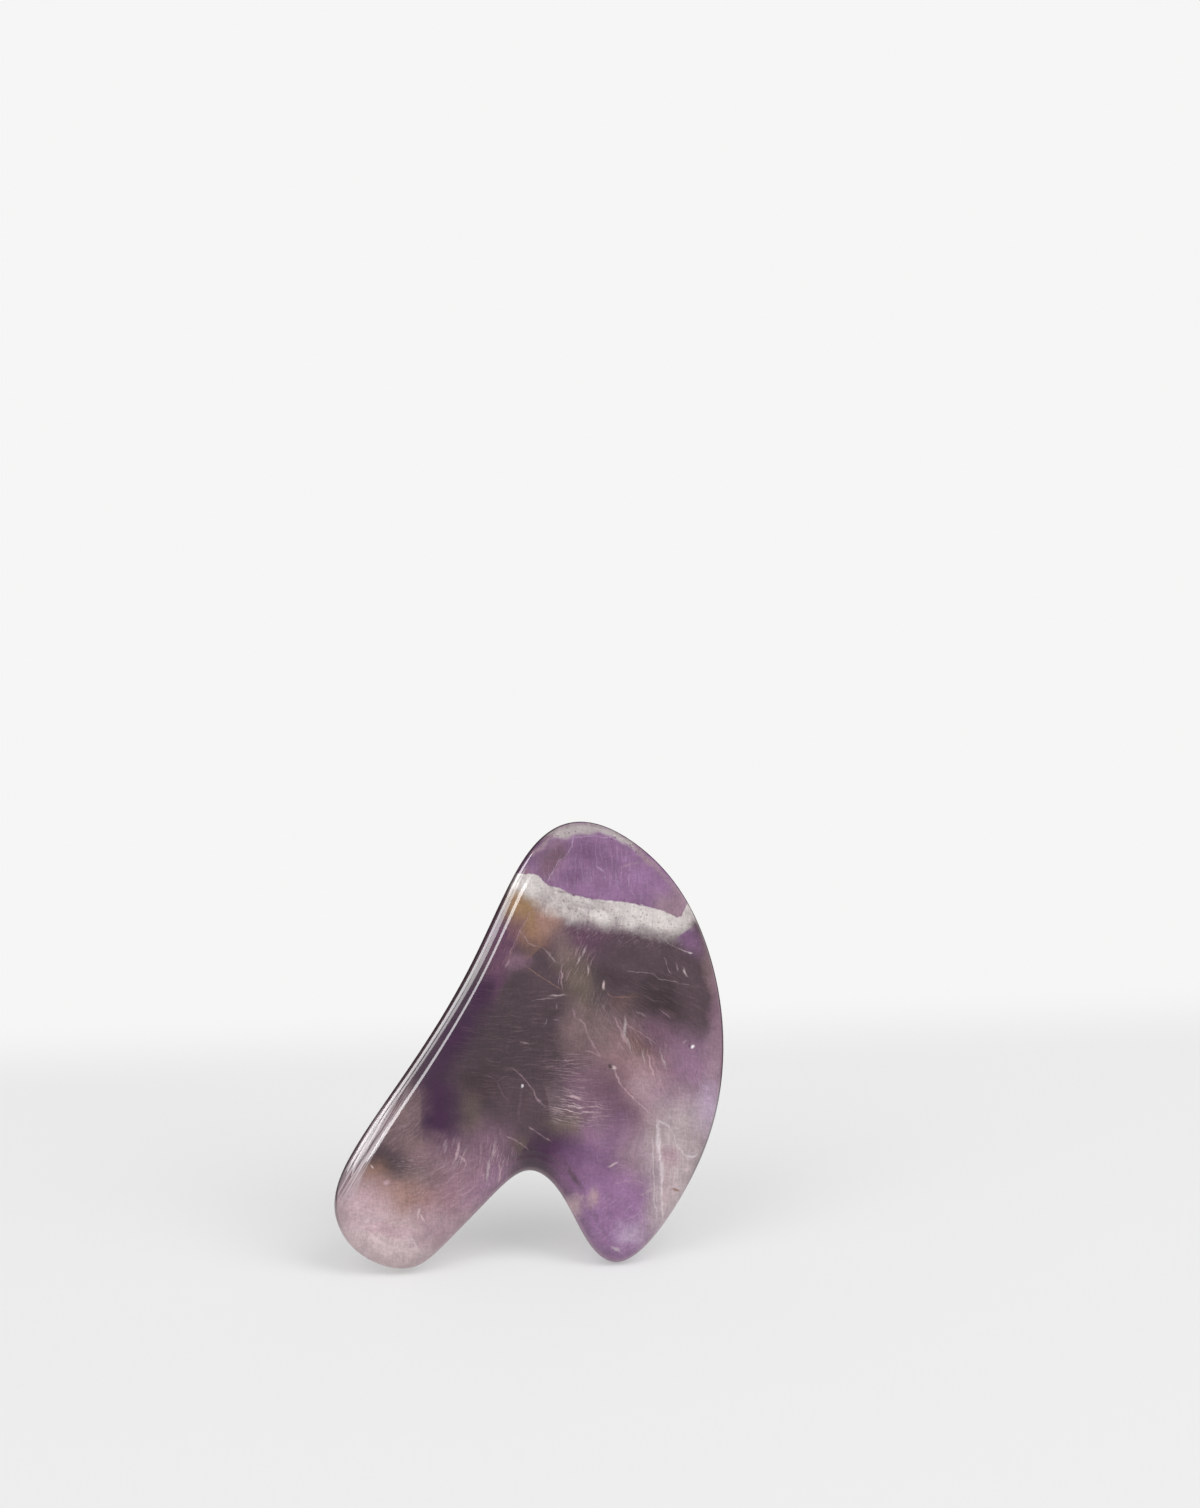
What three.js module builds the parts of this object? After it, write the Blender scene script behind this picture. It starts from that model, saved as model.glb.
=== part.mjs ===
// A gua sha scraper: one slab of polished amethyst, standing on its two toes and leaning back.
//
// The slab is drawn in its own plane first: X runs across it, Y runs up it, and Z is its thickness,
// with the front face at +Z. The finished mesh is then stood up, so that in the part's frame the front
// face looks towards -Y, +Z is up, and the origin is on the ground at the middle of the part's box.
// Sizes are in millimetres.

import * as THREE from 'three';
import { mergeVertices } from 'three/addons/utils/BufferGeometryUtils.js';

const THICKNESS = 7.0;
const LEAN_FROM_UPRIGHT = THREE.MathUtils.degToRad(26);

const OUTLINE_STEPS_PER_SPAN = 9;
const ROUNDING_STEPS = 7;
const TAPER_STEPS = 2;

const AMETHYST = { color: '#6d5470', roughness: 0.12, metalness: 0 };

// The outline is one closed, smooth B-spline, pulled towards these control points. They run clockwise as
// seen from the front, from the nose. At each one:
//   rounding  is how far the rounded edge reaches in from the outline,
//   edge      is the half thickness where the rounding ends,
//   taper     is how far in from there the slab takes to reach its full thickness,
//   sweep     is how many degrees round its quarter ellipse the rounding goes. Short of 90 degrees, the
//             edge and the face meet in a faint crease.
const CONTROLS = [
  { place: 'tip of the nose', x: 11.0, y: 82.5, rounding: 2.8, edge: 3.2, taper: 2.4, sweep: 86 },
  { place: 'nose, right shoulder', x: 21.0, y: 78.0, rounding: 2.6, edge: 3.0, taper: 5.0, sweep: 88 },
  { place: 'top of the curved blade', x: 30.0, y: 68.5, rounding: 2.2, edge: 2.6, taper: 9.0, sweep: 88 },
  { place: 'blade, above its middle', x: 35.0, y: 55.0, rounding: 1.9, edge: 2.3, taper: 12.0, sweep: 88 },
  { place: 'blade, below its middle', x: 36.5, y: 40.0, rounding: 1.9, edge: 2.3, taper: 12.0, sweep: 88 },
  { place: 'bottom of the blade', x: 34.0, y: 25.0, rounding: 2.0, edge: 2.4, taper: 10.0, sweep: 88 },
  { place: 'right leg, outer side', x: 28.0, y: 13.0, rounding: 2.1, edge: 2.6, taper: 6.0, sweep: 88 },
  { place: 'right leg, above the toe', x: 20.0, y: 2.5, rounding: 2.3, edge: 2.8, taper: 3.0, sweep: 88 },
  { place: 'right toe', x: 13.5, y: -1.5, rounding: 2.5, edge: 3.0, taper: 0.8, sweep: 88 },
  { place: 'right leg, inner side', x: 8.5, y: 3.0, rounding: 2.5, edge: 3.1, taper: 0.8, sweep: 88 },
  { place: 'notch, right side', x: 5.0, y: 13.0, rounding: 2.4, edge: 3.1, taper: 0.8, sweep: 88 },
  { place: 'crown of the notch', x: -1.0, y: 19.0, rounding: 2.4, edge: 3.1, taper: 0.8, sweep: 88 },
  { place: 'notch, left side', x: -8.5, y: 12.0, rounding: 2.5, edge: 3.1, taper: 0.8, sweep: 88 },
  { place: 'left leg, inner side', x: -17.5, y: 3.5, rounding: 2.8, edge: 3.2, taper: 0.8, sweep: 88 },
  { place: 'left toe, underneath', x: -22.5, y: -0.5, rounding: 3.2, edge: 3.2, taper: 0.8, sweep: 88 },
  { place: 'left toe, end', x: -31.0, y: 2.0, rounding: 3.6, edge: 3.3, taper: 0.8, sweep: 88 },
  { place: 'left toe, outer side', x: -36.0, y: 8.0, rounding: 3.8, edge: 3.4, taper: 0.6, sweep: 84 },
  { place: 'foot of the spine', x: -36.5, y: 17.0, rounding: 4.0, edge: 3.45, taper: 0.4, sweep: 68 },
  { place: 'spine, below its middle', x: -21.5, y: 36.0, rounding: 3.3, edge: 3.45, taper: 0.4, sweep: 68 },
  { place: 'spine, above its middle', x: -9.0, y: 54.5, rounding: 3.0, edge: 3.45, taper: 0.4, sweep: 67 },
  { place: 'nose, left shoulder', x: 1.0, y: 77.0, rounding: 2.8, edge: 3.35, taper: 0.6, sweep: 77 },
];

// The four weights of a uniform cubic B-spline, at t from 0 to 1 along one span.
function splineWeights(t) {
  const s = 1 - t;
  return [
    s ** 3 / 6,
    (3 * t ** 3 - 6 * t ** 2 + 4) / 6,
    (3 * s ** 3 - 6 * s ** 2 + 4) / 6,
    t ** 3 / 6,
  ];
}

// The outline as a list of stations, each with its place on the outline and its edge sizes.
function outlineStations() {
  const count = CONTROLS.length;
  const stations = [];
  for (let span = 0; span < count; span += 1) {
    for (let step = 0; step < OUTLINE_STEPS_PER_SPAN; step += 1) {
      const weights = splineWeights(step / OUTLINE_STEPS_PER_SPAN);
      const blend = (key) => weights.reduce(
        (sum, weight, k) => sum + weight * CONTROLS[(span + k + count - 1) % count][key],
        0,
      );
      stations.push({
        at: new THREE.Vector2(blend('x'), blend('y')),
        rounding: blend('rounding'),
        edge: blend('edge'),
        taper: blend('taper'),
        sweep: THREE.MathUtils.degToRad(blend('sweep')),
      });
    }
  }
  return stations;
}

// The unit direction pointing into the slab, square to the outline. The outline runs clockwise, so it is
// on the right of the way along.
function inwardNormals(stations) {
  const count = stations.length;
  return stations.map((station, i) => {
    const along = new THREE.Vector2().subVectors(
      stations[(i + 1) % count].at,
      stations[(i + count - 1) % count].at,
    );
    return new THREE.Vector2(along.y, -along.x).normalize();
  });
}

// One half of the edge's section, from the outline in to the flat face: a list of functions that give how
// far in and how far off the middle plane each ring of the mesh lies at a station.
function sectionRings() {
  const rings = [];
  for (let step = 1; step <= ROUNDING_STEPS; step += 1) {
    const part = step / ROUNDING_STEPS;
    rings.push(({ rounding, edge, sweep }) => ({
      inset: (rounding * (1 - Math.cos(sweep * part))) / (1 - Math.cos(sweep)),
      offset: (edge * Math.sin(sweep * part)) / Math.sin(sweep),
    }));
  }
  for (let step = 1; step <= TAPER_STEPS; step += 1) {
    const part = step / TAPER_STEPS;
    rings.push(({ rounding, edge, taper }) => ({
      inset: rounding + taper * part,
      offset: edge + (THICKNESS / 2 - edge) * Math.sin((part * Math.PI) / 2),
    }));
  }
  return rings;
}

// The slab's closed skin: rings of points from the front face's rim round the edge to the back face's
// rim, with a flat cap on each side.
function slabGeometry() {
  const stations = outlineStations();
  const normals = inwardNormals(stations);
  const half = sectionRings();
  const middle = () => ({ inset: 0, offset: 0 });
  const back = half.map((ring) => (station) => {
    const { inset, offset } = ring(station);
    return { inset, offset: -offset };
  });
  const rings = [...half.toReversed(), middle, ...back];

  const positions = [];
  for (const ring of rings) {
    stations.forEach((station, i) => {
      const { inset, offset } = ring(station);
      const point = station.at.clone().addScaledVector(normals[i], inset);
      positions.push(point.x, point.y, offset);
    });
  }

  const count = stations.length;
  const indices = [];
  for (let ring = 0; ring < rings.length - 1; ring += 1) {
    for (let i = 0; i < count; i += 1) {
      const a = ring * count + i;
      const b = ring * count + ((i + 1) % count);
      indices.push(a, b, a + count);
      indices.push(b, b + count, a + count);
    }
  }

  const backRim = (rings.length - 1) * count;
  const rim = [];
  for (let i = 0; i < count; i += 1) {
    rim.push(new THREE.Vector2(positions[3 * i], positions[3 * i + 1]));
  }
  for (const [a, b, c] of THREE.ShapeUtils.triangulateShape(rim, [])) {
    const turn = rim[b].clone().sub(rim[a]).cross(rim[c].clone().sub(rim[a]));
    const [first, second] = turn > 0 ? [b, c] : [c, b];
    indices.push(a, first, second);
    indices.push(backRim + a, backRim + second, backRim + first);
  }

  const geometry = new THREE.BufferGeometry();
  geometry.setAttribute('position', new THREE.Float32BufferAttribute(positions, 3));
  geometry.setIndex(indices);
  const welded = mergeVertices(geometry);
  welded.computeVertexNormals();
  return welded;
}

// Stands the slab on the ground, leaning back, with the origin under the middle of its box.
function standUp(mesh) {
  mesh.rotation.x = Math.PI / 2 - LEAN_FROM_UPRIGHT;
  mesh.updateMatrixWorld(true);
  const box = new THREE.Box3().setFromObject(mesh, true);
  const middle = box.getCenter(new THREE.Vector3());
  mesh.position.set(-middle.x, -middle.y, -box.min.z);
}

const slab = new THREE.Mesh(slabGeometry(), new THREE.MeshStandardMaterial(AMETHYST));
slab.name = 'amethyst_slab';
standUp(slab);

const scraper = new THREE.Group();
scraper.add(slab);

export default scraper;
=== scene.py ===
"""The looks of the gua sha scraper: one polished slab of banded amethyst, standing on its two toes.

The CAD slab is replaced by a finer one of the same shape. Its pattern is worked out in the slab's own
millimetres, so a band or a cloud runs through the stone from the front face to the back one.
"""

import math

import bpy
import numpy as np
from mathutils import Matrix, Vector, noise
from mathutils.geometry import delaunay_2d_cdt


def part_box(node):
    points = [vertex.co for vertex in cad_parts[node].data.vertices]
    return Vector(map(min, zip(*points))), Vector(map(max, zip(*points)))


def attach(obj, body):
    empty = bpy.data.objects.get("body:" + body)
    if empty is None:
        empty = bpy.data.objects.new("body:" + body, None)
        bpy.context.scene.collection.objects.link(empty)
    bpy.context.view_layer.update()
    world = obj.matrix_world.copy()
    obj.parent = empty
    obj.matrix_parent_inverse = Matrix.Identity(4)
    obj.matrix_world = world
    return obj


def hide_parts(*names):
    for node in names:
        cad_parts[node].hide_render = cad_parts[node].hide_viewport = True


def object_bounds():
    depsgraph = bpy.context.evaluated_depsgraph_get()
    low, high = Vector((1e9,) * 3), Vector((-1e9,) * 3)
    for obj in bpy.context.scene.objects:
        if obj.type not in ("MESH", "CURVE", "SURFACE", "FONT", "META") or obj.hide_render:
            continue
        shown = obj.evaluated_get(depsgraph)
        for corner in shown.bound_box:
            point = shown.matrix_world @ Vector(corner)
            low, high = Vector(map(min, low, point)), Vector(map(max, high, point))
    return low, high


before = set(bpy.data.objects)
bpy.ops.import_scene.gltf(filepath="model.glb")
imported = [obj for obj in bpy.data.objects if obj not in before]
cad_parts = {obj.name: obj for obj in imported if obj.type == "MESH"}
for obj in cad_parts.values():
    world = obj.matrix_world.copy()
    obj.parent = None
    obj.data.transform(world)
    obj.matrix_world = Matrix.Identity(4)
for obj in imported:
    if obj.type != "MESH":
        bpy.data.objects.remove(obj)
cad_low, cad_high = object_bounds()

MM = 0.001

# ---------------------------------------------------------------------------------------------------
# The slab's shape, in its own millimetres: X across, Y up the slab, Z out of the front face.
# ---------------------------------------------------------------------------------------------------

THICKNESS = 7.0
LEAN = math.radians(26)

# The outline is one closed B-spline, pulled towards these points, clockwise from the nose:
# x, y, how far the rounded edge reaches in, the half thickness where it ends, the taper's width, and how
# many degrees round its quarter ellipse the rounding goes before it meets the face.
CONTROLS = np.array([
    (11.0, 82.5, 2.8, 3.2, 2.4, 86),
    (21.0, 78.0, 2.6, 3.0, 5.0, 88),
    (30.0, 68.5, 2.2, 2.6, 9.0, 88),
    (35.0, 55.0, 1.9, 2.3, 12.0, 88),
    (36.5, 40.0, 1.9, 2.3, 12.0, 88),
    (34.0, 25.0, 2.0, 2.4, 10.0, 88),
    (28.0, 13.0, 2.1, 2.6, 6.0, 88),
    (20.0, 2.5, 2.3, 2.8, 3.0, 88),
    (13.5, -1.5, 2.5, 3.0, 0.8, 88),
    (8.5, 3.0, 2.5, 3.1, 0.8, 88),
    (5.0, 13.0, 2.4, 3.1, 0.8, 88),
    (-1.0, 19.0, 2.4, 3.1, 0.8, 88),
    (-8.5, 12.0, 2.5, 3.1, 0.8, 88),
    (-17.5, 3.5, 2.8, 3.2, 0.8, 88),
    (-22.5, -0.5, 3.2, 3.2, 0.8, 88),
    (-31.0, 2.0, 3.6, 3.3, 0.8, 88),
    (-36.0, 8.0, 3.8, 3.4, 0.6, 84),
    (-36.5, 17.0, 4.0, 3.45, 0.4, 68),
    (-21.5, 36.0, 3.3, 3.45, 0.4, 68),
    (-9.0, 54.5, 3.0, 3.45, 0.4, 67),
    (1.0, 77.0, 2.8, 3.35, 0.6, 77),
])

STATION_SPACING = 0.34
OUTLINE_STEPS = 6000
FACE_SPACING = 0.75

# How near the grid of a face may come to its rim and to a pit, in spacings of the grid.
RIM_CLEARANCE = 0.45
PIT_CLEARANCE = 0.3
ROUNDING_STEPS = 24
TAPER_STEPS = 6

# A hand-ground face is never quite flat.
WAVE_DEPTH = 0.035
WAVE_LENGTH = 13.0
WAVE_SEED = 5.0

# Long, faint grinding ridges run along the spine, deepest where its rounding is widest, at the foot.
RIDGE_DEPTH = 0.05
RIDGE_WIDTH = 0.8
RIDGE_LENGTH = 30.0
RIDGE_SEED = 7.5
SPINE_SWEEP = 84
RIDGED_FROM, RIDGED_FULLY = 2.9, 3.7

# Small open pits in the polish: x, y, radius, depth, and 1 for the front face or -1 for the back one.
PITS = [
    (-2.0, 31.4, 0.32, 0.16, 1),
    (29.7, 37.6, 0.45, 0.22, 1),
    (14.4, 34.2, 0.45, 0.22, 1),
    (-0.5, 30.2, 0.22, 0.08, 1),
    (25.4, 11.8, 0.35, 0.12, 1),
    (8.0, 58.6, 0.40, 0.18, -1),
    (-19.5, 14.0, 0.35, 0.14, -1),
    (21.0, 29.5, 0.45, 0.20, -1),
]
PIT_RINGS = (0.25, 0.5, 0.75, 1.0, 1.35)
PIT_POINTS = 10


def spline(t):
    """The outline's x, y, rounding, edge and taper at t, in spans from the first control point."""
    span = np.floor(t).astype(int)
    s = (t - span)[:, None]
    r = 1 - s
    weights = (
        r ** 3 / 6,
        (3 * s ** 3 - 6 * s ** 2 + 4) / 6,
        (3 * r ** 3 - 6 * r ** 2 + 4) / 6,
        s ** 3 / 6,
    )
    count = len(CONTROLS)
    return sum(w * CONTROLS[(span + k - 1) % count] for k, w in enumerate(weights))


def outline_stations():
    """Evenly spaced stations round the outline, and the unit direction into the slab at each."""
    t = np.linspace(0, len(CONTROLS), OUTLINE_STEPS, endpoint=False)
    fine = spline(t)
    steps = np.linalg.norm(np.roll(fine[:, :2], -1, axis=0) - fine[:, :2], axis=1)
    length = np.concatenate(([0], np.cumsum(steps)))
    count = round(length[-1] / STATION_SPACING)
    wanted = np.linspace(0, length[-1], count, endpoint=False)
    stations = spline(np.interp(wanted, length, np.append(t, len(CONTROLS))) % len(CONTROLS))
    at = stations[:, :2]
    along = np.roll(at, -1, axis=0) - np.roll(at, 1, axis=0)
    inward = np.stack([along[:, 1], -along[:, 0]], axis=1)
    inward /= np.linalg.norm(inward, axis=1)[:, None]
    return stations, inward


def ridge(arc):
    """How deep the grinding ridges are at every station, at an arc length round the edge's section."""
    places = [
        Vector((across / RIDGE_WIDTH, i * STATION_SPACING / RIDGE_LENGTH, RIDGE_SEED))
        for i, across in enumerate(arc)
    ]
    return RIDGE_DEPTH * np.array([0.5 + 0.5 * noise.noise(p) for p in places])


def section(stations):
    """One half of the edge's section at every station: for each ring of the mesh, how far in and how far
    off the middle plane it lies."""
    _, _, rounding, edge, taper, sweep = stations.T
    ridged = np.clip((rounding - RIDGED_FROM) / (RIDGED_FULLY - RIDGED_FROM), 0, 1) * (sweep < SPINE_SWEEP)
    rings = []
    for step in range(1, ROUNDING_STEPS + 1):
        angle = np.radians(sweep) * step / ROUNDING_STEPS
        inset = rounding * (1 - np.cos(angle)) / (1 - np.cos(np.radians(sweep)))
        offset = edge * np.sin(angle) / np.sin(np.radians(sweep))
        dip = ridged * ridge(rounding * angle) * math.sin(step / ROUNDING_STEPS * math.pi)
        rings.append((inset + dip * np.cos(angle), offset - dip * np.sin(angle)))
    for step in range(1, TAPER_STEPS + 1):
        part = step / TAPER_STEPS
        rise = (THICKNESS / 2 - edge) * math.sin(part * math.pi / 2)
        rings.append((rounding + taper * part, edge + rise))
    return rings


def face_mesh(rim):
    """Points and triangles that fill a flat face inside its rim. The rim's own points come first."""
    low, high = rim.min(axis=0), rim.max(axis=0)
    row_height = FACE_SPACING * math.sqrt(3) / 2
    inner = []
    rows = np.arange(low[1], high[1], row_height)
    for row, y in enumerate(rows):
        shift = FACE_SPACING / 2 if row % 2 else 0.0
        for x in np.arange(low[0] + shift, high[0], FACE_SPACING):
            inner.append((x, y))
    inner = np.array(inner)
    a, b = rim, np.roll(rim, -1, axis=0)
    px, py = inner[:, :1], inner[:, 1:]
    crosses = (a[:, 1] > py) != (b[:, 1] > py)
    rise = np.where(b[:, 1] == a[:, 1], 1e-9, b[:, 1] - a[:, 1])
    at_x = a[:, 0] + (py - a[:, 1]) * (b[:, 0] - a[:, 0]) / rise
    inside = (np.sum(crosses & (px < at_x), axis=1) % 2) == 1
    clear = np.min(np.hypot(px - a[:, 0], py - a[:, 1]), axis=1) > FACE_SPACING * RIM_CLEARANCE
    pitted = []
    for x, y, radius, _, _ in PITS:
        room = radius * PIT_RINGS[-1] + FACE_SPACING * PIT_CLEARANCE
        clear &= np.hypot(inner[:, 0] - x, inner[:, 1] - y) > room
        pitted.append((x, y))
        for ring in PIT_RINGS:
            for step in range(PIT_POINTS):
                turn = 2 * math.pi * step / PIT_POINTS
                pitted.append((x + radius * ring * math.cos(turn), y + radius * ring * math.sin(turn)))
    points = np.vstack([rim, inner[inside & clear], pitted])
    count = len(rim)
    edges = [(i, (i + 1) % count) for i in range(count)]
    verts, _, faces, *_ = delaunay_2d_cdt([Vector(p) for p in points], edges, [], 1, 1e-6)
    return np.array([tuple(v) for v in verts]), [tuple(f) for f in faces]


def wave(x, y, side):
    """How far a face dips below its plane, in millimetres."""
    here = Vector((x / WAVE_LENGTH, y / WAVE_LENGTH, WAVE_SEED * side))
    return WAVE_DEPTH * (0.5 + 0.5 * noise.noise(here))


def pit(x, y, side):
    """How deep the pits are at a point of a face, in millimetres."""
    dip = 0.0
    for pit_x, pit_y, radius, depth, pit_side in PITS:
        away = math.hypot(x - pit_x, y - pit_y) / radius
        if pit_side == side and away < 1:
            dip = depth * (1 - away ** 2) ** 0.8
    return dip


def slab_mesh():
    """The whole closed skin, in slab millimetres: vertices and faces."""
    stations, inward = outline_stations()
    count = len(stations)
    sides = [[], []]
    for inset, offset in section(stations):
        at = stations[:, :2] + inward * inset[:, None]
        for side, sign in enumerate((1, -1)):
            sides[side].append(np.column_stack([at, sign * offset]))
    middle = np.column_stack([stations[:, :2], np.zeros(count)])
    loops = [*reversed(sides[0]), middle, *sides[1]]
    verts = [p for loop in loops for p in loop]
    faces = []
    for ring in range(len(loops) - 1):
        for i in range(count):
            j = (i + 1) % count
            below, above = ring * count, (ring + 1) * count
            faces.append((below + i, below + j, above + j, above + i))

    points, triangles = face_mesh(loops[0][:, :2])
    start = len(verts)
    back_rim = (len(loops) - 1) * count
    extra = len(points) - count
    front_index = list(range(count)) + list(range(start, start + extra))
    back_index = list(range(back_rim, back_rim + count)) + list(range(start + extra, start + 2 * extra))
    for sign in (1, -1):
        verts.extend(np.column_stack([points[count:], np.full(extra, sign * THICKNESS / 2)]))
    for a, b, c in triangles:
        ab, ac = points[b] - points[a], points[c] - points[a]
        if ab[0] * ac[1] - ab[1] * ac[0] < 0:
            b, c = c, b
        faces.append((front_index[a], front_index[b], front_index[c]))
        faces.append((back_index[a], back_index[c], back_index[b]))

    shaped = []
    for x, y, z in verts:
        side = 1 if z > 0 else -1
        depth = wave(x, y, side) * min(1.0, abs(z) / (THICKNESS / 2)) ** 4
        if abs(z) == THICKNESS / 2:
            depth += pit(x, y, side)
        shaped.append((x, y, z - side * depth))
    return np.array(shaped), faces


def stand_up(points):
    """Slab millimetres to the row's frame in metres: leaning back, resting on the ground."""
    lean_sin, lean_cos = math.sin(LEAN), math.cos(LEAN)
    x, y, z = points.T
    return np.column_stack([x, y * lean_sin - z * lean_cos, y * lean_cos + z * lean_sin]) * MM


def build_slab():
    """The slab's object in the row's frame, and where the slab's own origin lies in that frame."""
    points, faces = slab_mesh()
    stood = stand_up(points)
    low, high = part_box("amethyst_slab")
    middle = (stood.min(axis=0) + stood.max(axis=0)) / 2
    move = np.array([
        (low[0] + high[0]) / 2 - middle[0],
        (low[1] + high[1]) / 2 - middle[1],
        low[2] - stood[:, 2].min(),
    ])
    mesh = bpy.data.meshes.new("polished_slab")
    mesh.from_pydata([tuple(p) for p in stood + move], [], faces)
    mesh.validate()
    mesh.polygons.foreach_set("use_smooth", [True] * len(mesh.polygons))
    mesh.update()
    piece = bpy.data.objects.new("polished_slab", mesh)
    bpy.context.scene.collection.objects.link(piece)
    return piece, Vector(move)


slab, slab_origin = build_slab()


# ---------------------------------------------------------------------------------------------------
# The stone's pattern: x and y in slab millimetres, colours as they look in the studio light
# ---------------------------------------------------------------------------------------------------

# What the studio does to a colour: the polish adds this much reflected light, and the rest is lit this
# much.
POLISH_VEIL = 0.028
FACE_LIGHT = 1.01

QUARTZ_IOR = 1.544

# The stone's colours, as they look in the studio light.
PALETTE = {
    "soot": "453a3e",
    "smoke": "4e4348",
    "indigo": "483349",
    "plum": "57494f",
    "aubergine": "65495d",
    "damson": "6f5665",
    "umber": "6c554f",
    "olive": "6a5d56",
    "taupe": "796568",
    "mauve": "7d6272",
    "heather": "7a5c7a",
    "cocoa": "88695c",
    "dusk": "94757a",
    "clay": "98786f",
    "thistle": "8f7087",
    "violet": "8d6c8e",
    "lilac": "99749b",
    "mallow": "937a88",
    "ochre": "997b5f",
    "rose": "a68c94",
    "orchid": "b09ab2",
    "pearl": "b0a1a4",
    "petal": "ba9fa6",
    "blush": "c9b4b7",
    "ash": "a89e9f",
    "milk": "d4cdca",
    "dust": "8c7c80",
    "haze": "a99a9d",
    "frost": "cabdc2",
    "glint": "ebe5e8",
}
BASE = "plum"

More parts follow.
